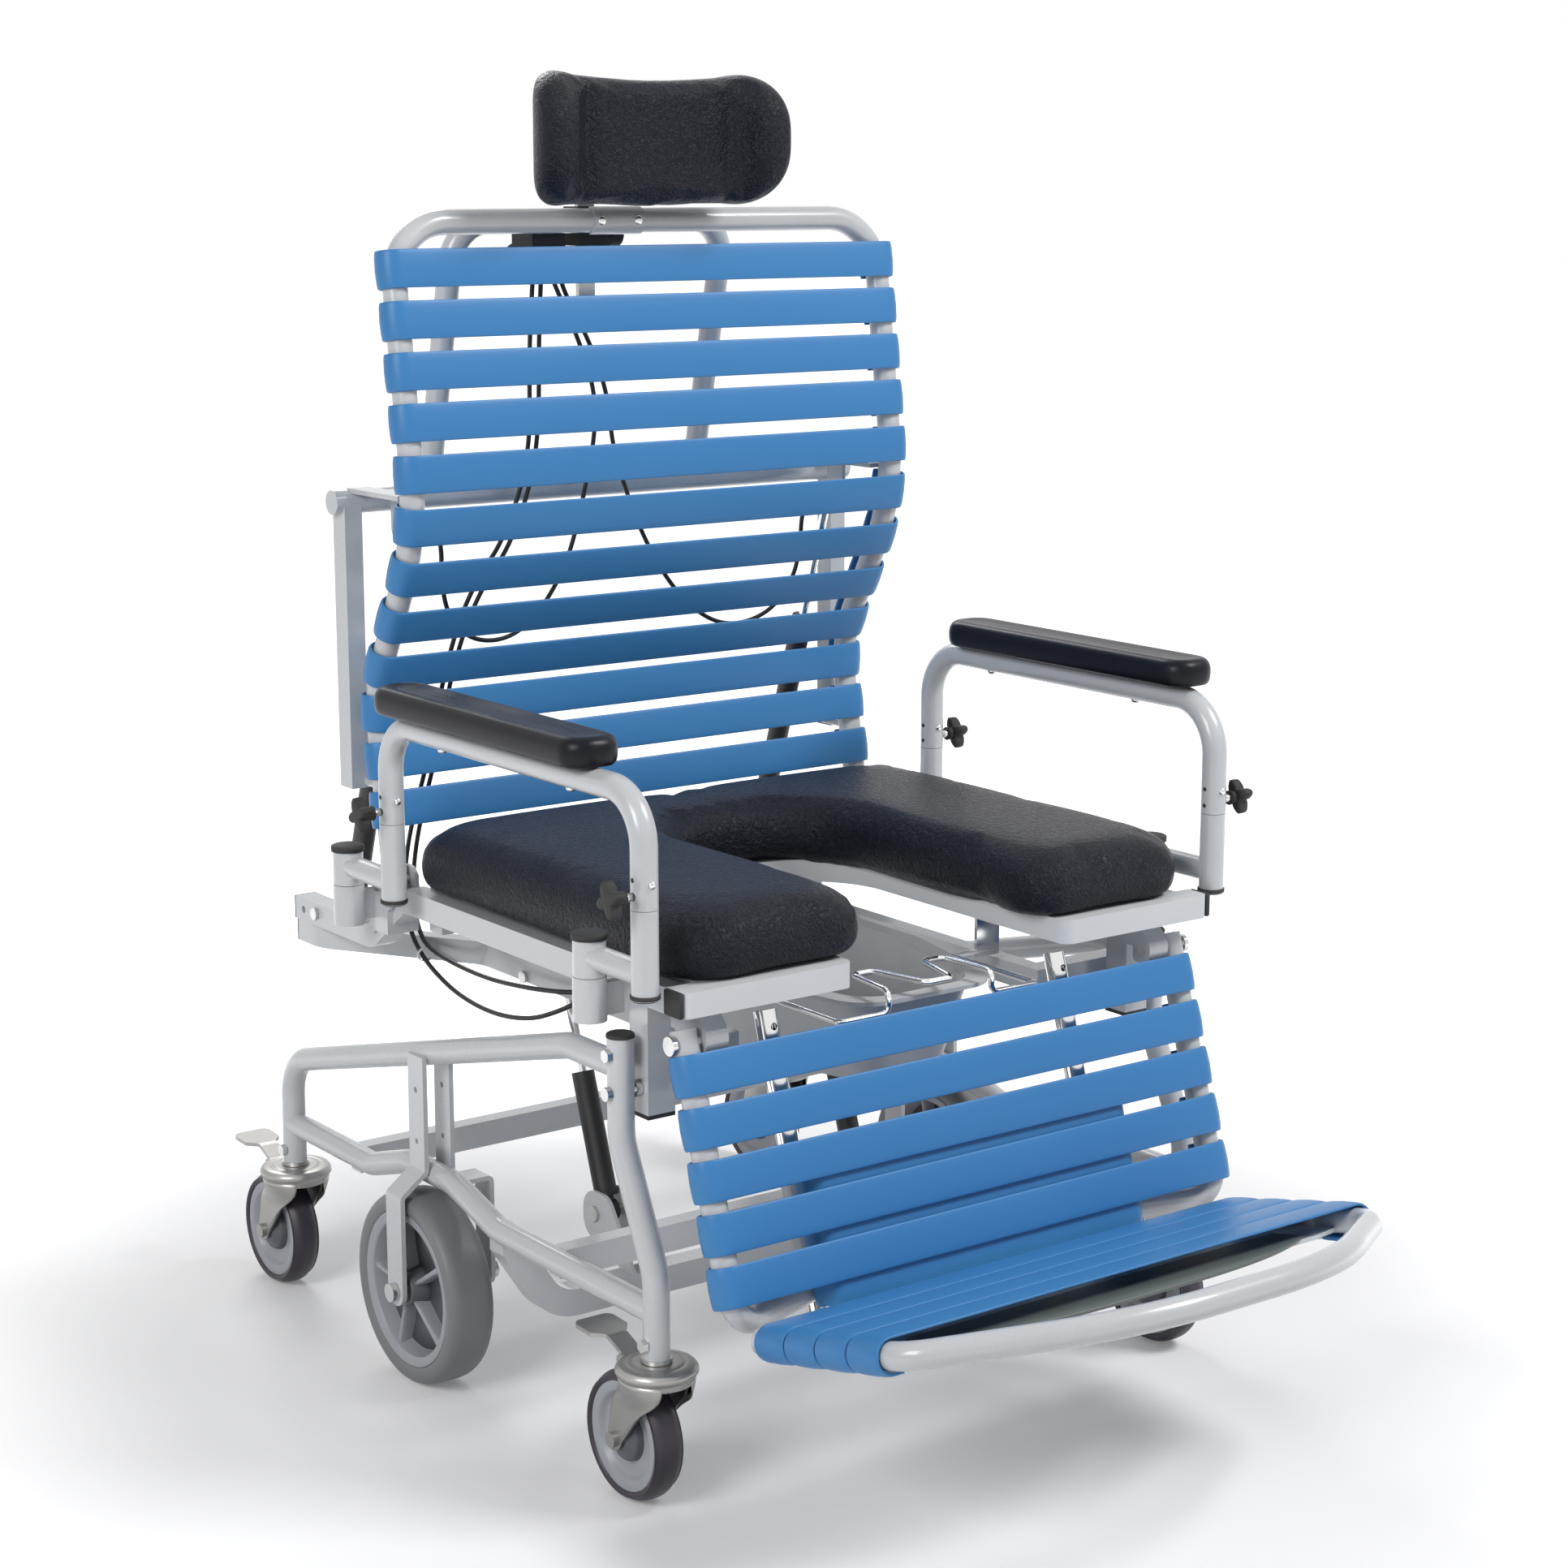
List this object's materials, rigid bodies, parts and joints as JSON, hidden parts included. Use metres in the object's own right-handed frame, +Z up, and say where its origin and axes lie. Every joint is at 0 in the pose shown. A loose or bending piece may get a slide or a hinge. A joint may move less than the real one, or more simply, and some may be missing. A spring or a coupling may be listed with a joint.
{
  "type": "tilting shower commode chair",
  "caption": "Wheeled shower commode chair with a tilting seat, reclining strap back, legrest, footrest, headrest, arms and a slide-out pan.",
  "frame": {"origin": "on the floor under the middle of the chair's box", "axes": "+X to the occupant's left, -Y to the front, +Z up"},
  "size_m": [0.7814, 1.2474, 1.3178],
  "materials": {
    "frame": "satin powder coat",
    "board": "satin white",
    "strap": "satin blue",
    "upholstery": "fine grain black",
    "black_plastic": "moulded",
    "steel": "brushed",
    "strut_black": "satin black",
    "chrome": "polished",
    "tyre": "matt",
    "pan": "light grey",
    "cable": "satin black sheath"
  },
  "bodies": {
    "base": {"base_side_frame_left": "frame", "base_side_frame_right": "frame", "wheel_brackets": "frame", "base_cross_tubes": "frame", "base_end_caps": "black_plastic", "base_fasteners": "steel", "caster_stems": "steel"},
    "seat": {"seat_frame": "frame", "seat_lower_rails": "frame", "seat_board": "board", "seat_pad": "upholstery", "pan_rack": "chrome", "seat_end_caps": "black_plastic", "seat_fasteners": "steel", "seat_cables": "cable", "hinge_cables": "cable"},
    "pan": {"commode_pan": "pan"},
    "back": {"back_frame": "frame", "back_straps": "strap", "push_frame": "frame", "headrest_clamp": "black_plastic", "lever_housing": "black_plastic", "back_cables": "cable"},
    "headrest_post": {"headrest_post": "steel"},
    "headrest": {"headrest_pad": "upholstery"},
    "tilt_lever": {"tilt_lever": "black_plastic"},
    "recline_lever": {"recline_lever": "black_plastic"},
    "leg": {"leg_frame": "frame", "leg_straps": "strap"},
    "foot_slide": {"foot_slide": "chrome"},
    "foot": {"foot_frame": "frame", "foot_straps": "strap"},
    "tilt_cylinders": {"tilt_strut_cylinders": "strut_black"},
    "tilt_rods": {"tilt_strut_rods": "steel"},
    "recline_cylinders": {"recline_strut_cylinders": "strut_black"},
    "recline_rods": {"recline_strut_rods": "steel"},
    "centre_wheel_right": {"centre_wheel_right": "tyre"},
    "arm_right": {"arm_carrier_right": "frame"},
    "hoop_right": {"arm_hoop_right": "frame", "arm_pad_right": "upholstery"},
    "arm_knob_front_right": {"arm_knob_front_right": "black_plastic"},
    "arm_knob_rear_right": {"arm_knob_rear_right": "black_plastic"},
    "caster_front_right": {"caster_fork_front_right": "steel"},
    "caster_wheel_front_right": {"caster_wheel_front_right": "tyre"},
    "pedal_front_right": {"caster_pedal_front_right": "steel"},
    "caster_rear_right": {"caster_fork_rear_right": "steel"},
    "caster_wheel_rear_right": {"caster_wheel_rear_right": "tyre"},
    "pedal_rear_right": {"caster_pedal_rear_right": "steel"},
    "centre_wheel_left": {"centre_wheel_left": "tyre"},
    "arm_left": {"arm_carrier_left": "frame"},
    "hoop_left": {"arm_hoop_left": "frame", "arm_pad_left": "upholstery"},
    "arm_knob_front_left": {"arm_knob_front_left": "black_plastic"},
    "arm_knob_rear_left": {"arm_knob_rear_left": "black_plastic"},
    "caster_front_left": {"caster_fork_front_left": "steel"},
    "caster_wheel_front_left": {"caster_wheel_front_left": "tyre"},
    "pedal_front_left": {"caster_pedal_front_left": "steel"},
    "caster_rear_left": {"caster_fork_rear_left": "steel"},
    "caster_wheel_rear_left": {"caster_wheel_rear_left": "tyre"},
    "pedal_rear_left": {"caster_pedal_rear_left": "steel"}
  },
  "joints": [
    {"name": "seat_tilt", "type": "hinge", "parent": "base", "child": "seat", "pos_m": [0, -0.14025, 0.39], "axis": [-1, 0, 0], "range_deg": [0, 10]},
    {"name": "back_recline", "type": "hinge", "parent": "seat", "child": "back", "pos_m": [0, 0.32275, 0.498], "axis": [-1, 0, 0], "range_deg": [0, 30], "deforming": ["hinge_cables"]},
    {"name": "leg_elevate", "type": "hinge", "parent": "seat", "child": "leg", "pos_m": [0, -0.19925, 0.444], "axis": [-1, 0, 0], "range_deg": [0, 60]},
    {"name": "foot_extend", "type": "slide", "parent": "leg", "child": "foot_slide", "axis": [0, -0.2961, -0.9552], "range_m": [0, 0.09]},
    {"name": "foot_flip", "type": "hinge", "parent": "foot_slide", "child": "foot", "pos_m": [0, -0.31025, 0.19], "axis": [-1, 0, 0], "range_deg": [0, 80]},
    {"name": "pan_slide", "type": "slide", "parent": "seat", "child": "pan", "axis": [0, 1, 0], "range_m": [0, 0.32]},
    {"name": "headrest_height", "type": "slide", "parent": "back", "child": "headrest_post", "axis": [0, 0, 1], "range_m": [0, 0.08]},
    {"name": "headrest_tilt", "type": "hinge", "parent": "headrest_post", "child": "headrest", "pos_m": [-0.055, 0.30075, 1.248], "axis": [-1, 0, 0], "range_deg": [-10, 10]},
    {"name": "tilt_lever_squeeze", "type": "hinge", "parent": "back", "child": "tilt_lever", "pos_m": [-0.119, 0.33945, 1.146], "axis": [1, 0, 0], "range_deg": [0, 14], "stiffness_Nm_per_rad": 1.5, "springref_deg": -11.46},
    {"name": "recline_lever_squeeze", "type": "hinge", "parent": "back", "child": "recline_lever", "pos_m": [-0.101, 0.33945, 1.146], "axis": [1, 0, 0], "range_deg": [0, 14], "stiffness_Nm_per_rad": 1.5, "springref_deg": -11.46},
    {"name": "tilt_strut_swing", "type": "hinge", "parent": "base", "child": "tilt_cylinders", "pos_m": [0, 0.14475, 0.16], "axis": [-1, 0, 0], "range_deg": [-1, 12]},
    {"name": "tilt_strut_stroke", "type": "slide", "parent": "tilt_cylinders", "child": "tilt_rods", "axis": [0, 0.3233, 0.9463], "range_m": [-0.1, 0.01]},
    {"name": "recline_strut_swing", "type": "hinge", "parent": "seat", "child": "recline_cylinders", "pos_m": [0, 0.47775, 0.433], "axis": [-1, 0, 0], "range_deg": [-1, 32]},
    {"name": "recline_strut_stroke", "type": "slide", "parent": "recline_cylinders", "child": "recline_rods", "axis": [0, -0.3142, 0.9493], "range_m": [-0.11, 0.01]},
    {"name": "centre_wheel_right_roll", "type": "hinge", "parent": "base", "child": "centre_wheel_right", "pos_m": [-0.343, 0.20975, 0.1], "axis": [1, 0, 0], "continuous": true},
    {"name": "arm_right_lift", "type": "slide", "parent": "seat", "child": "arm_right", "axis": [0, 0, 1], "range_m": [0, 0.07]},
    {"name": "arm_right_height", "type": "slide", "parent": "arm_right", "child": "hoop_right", "axis": [0, 0, 1], "range_m": [0, 0.03]},
    {"name": "arm_knob_front_right_turn", "type": "hinge", "parent": "hoop_right", "child": "arm_knob_front_right", "pos_m": [-0.378, -0.20725, 0.59], "axis": [-1, 0, 0], "continuous": true},
    {"name": "arm_knob_rear_right_turn", "type": "hinge", "parent": "hoop_right", "child": "arm_knob_rear_right", "pos_m": [-0.378, 0.24475, 0.59], "axis": [-1, 0, 0], "continuous": true},
    {"name": "caster_front_right_swivel", "type": "hinge", "parent": "base", "child": "caster_front_right", "pos_m": [-0.331, -0.19525, 0.14], "axis": [0, 0, 1], "continuous": true},
    {"name": "caster_front_right_roll", "type": "hinge", "parent": "caster_front_right", "child": "caster_wheel_front_right", "pos_m": [-0.331, -0.15725, 0.0625], "axis": [1, 0, 0], "continuous": true},
    {"name": "pedal_front_right_press", "type": "hinge", "parent": "caster_front_right", "child": "pedal_front_right", "pos_m": [-0.331, -0.15425, 0.1365], "axis": [-1, 0, 0], "range_deg": [0, 10]},
    {"name": "caster_rear_right_swivel", "type": "hinge", "parent": "base", "child": "caster_rear_right", "pos_m": [-0.331, 0.51275, 0.14], "axis": [0, 0, 1], "continuous": true},
    {"name": "caster_rear_right_roll", "type": "hinge", "parent": "caster_rear_right", "child": "caster_wheel_rear_right", "pos_m": [-0.331, 0.55075, 0.0625], "axis": [1, 0, 0], "continuous": true},
    {"name": "pedal_rear_right_press", "type": "hinge", "parent": "caster_rear_right", "child": "pedal_rear_right", "pos_m": [-0.331, 0.55375, 0.1365], "axis": [-1, 0, 0], "range_deg": [0, 10]},
    {"name": "centre_wheel_left_roll", "type": "hinge", "parent": "base", "child": "centre_wheel_left", "pos_m": [0.343, 0.20975, 0.1], "axis": [1, 0, 0], "continuous": true},
    {"name": "arm_left_lift", "type": "slide", "parent": "seat", "child": "arm_left", "axis": [0, 0, 1], "range_m": [0, 0.07]},
    {"name": "arm_left_height", "type": "slide", "parent": "arm_left", "child": "hoop_left", "axis": [0, 0, 1], "range_m": [0, 0.03]},
    {"name": "arm_knob_front_left_turn", "type": "hinge", "parent": "hoop_left", "child": "arm_knob_front_left", "pos_m": [0.378, -0.20725, 0.59], "axis": [1, 0, 0], "continuous": true},
    {"name": "arm_knob_rear_left_turn", "type": "hinge", "parent": "hoop_left", "child": "arm_knob_rear_left", "pos_m": [0.378, 0.24475, 0.59], "axis": [1, 0, 0], "continuous": true},
    {"name": "caster_front_left_swivel", "type": "hinge", "parent": "base", "child": "caster_front_left", "pos_m": [0.331, -0.19525, 0.14], "axis": [0, 0, 1], "continuous": true},
    {"name": "caster_front_left_roll", "type": "hinge", "parent": "caster_front_left", "child": "caster_wheel_front_left", "pos_m": [0.331, -0.15725, 0.0625], "axis": [1, 0, 0], "continuous": true},
    {"name": "pedal_front_left_press", "type": "hinge", "parent": "caster_front_left", "child": "pedal_front_left", "pos_m": [0.331, -0.15425, 0.1365], "axis": [-1, 0, 0], "range_deg": [0, 10]},
    {"name": "caster_rear_left_swivel", "type": "hinge", "parent": "base", "child": "caster_rear_left", "pos_m": [0.331, 0.51275, 0.14], "axis": [0, 0, 1], "continuous": true},
    {"name": "caster_rear_left_roll", "type": "hinge", "parent": "caster_rear_left", "child": "caster_wheel_rear_left", "pos_m": [0.331, 0.55075, 0.0625], "axis": [1, 0, 0], "continuous": true},
    {"name": "pedal_rear_left_press", "type": "hinge", "parent": "caster_rear_left", "child": "pedal_rear_left", "pos_m": [0.331, 0.55375, 0.1365], "axis": [-1, 0, 0], "range_deg": [0, 10]}
  ],
  "couplings": [
    {"joint": "tilt_strut_swing", "follows": "seat_tilt", "ratio": 0.50552},
    {"joint": "tilt_strut_stroke", "follows": "seat_tilt", "m_per_rad": -0.34915},
    {"joint": "recline_strut_swing", "follows": "back_recline", "ratio": 0.79525},
    {"joint": "recline_strut_stroke", "follows": "back_recline", "m_per_rad": -0.14242}
  ]
}
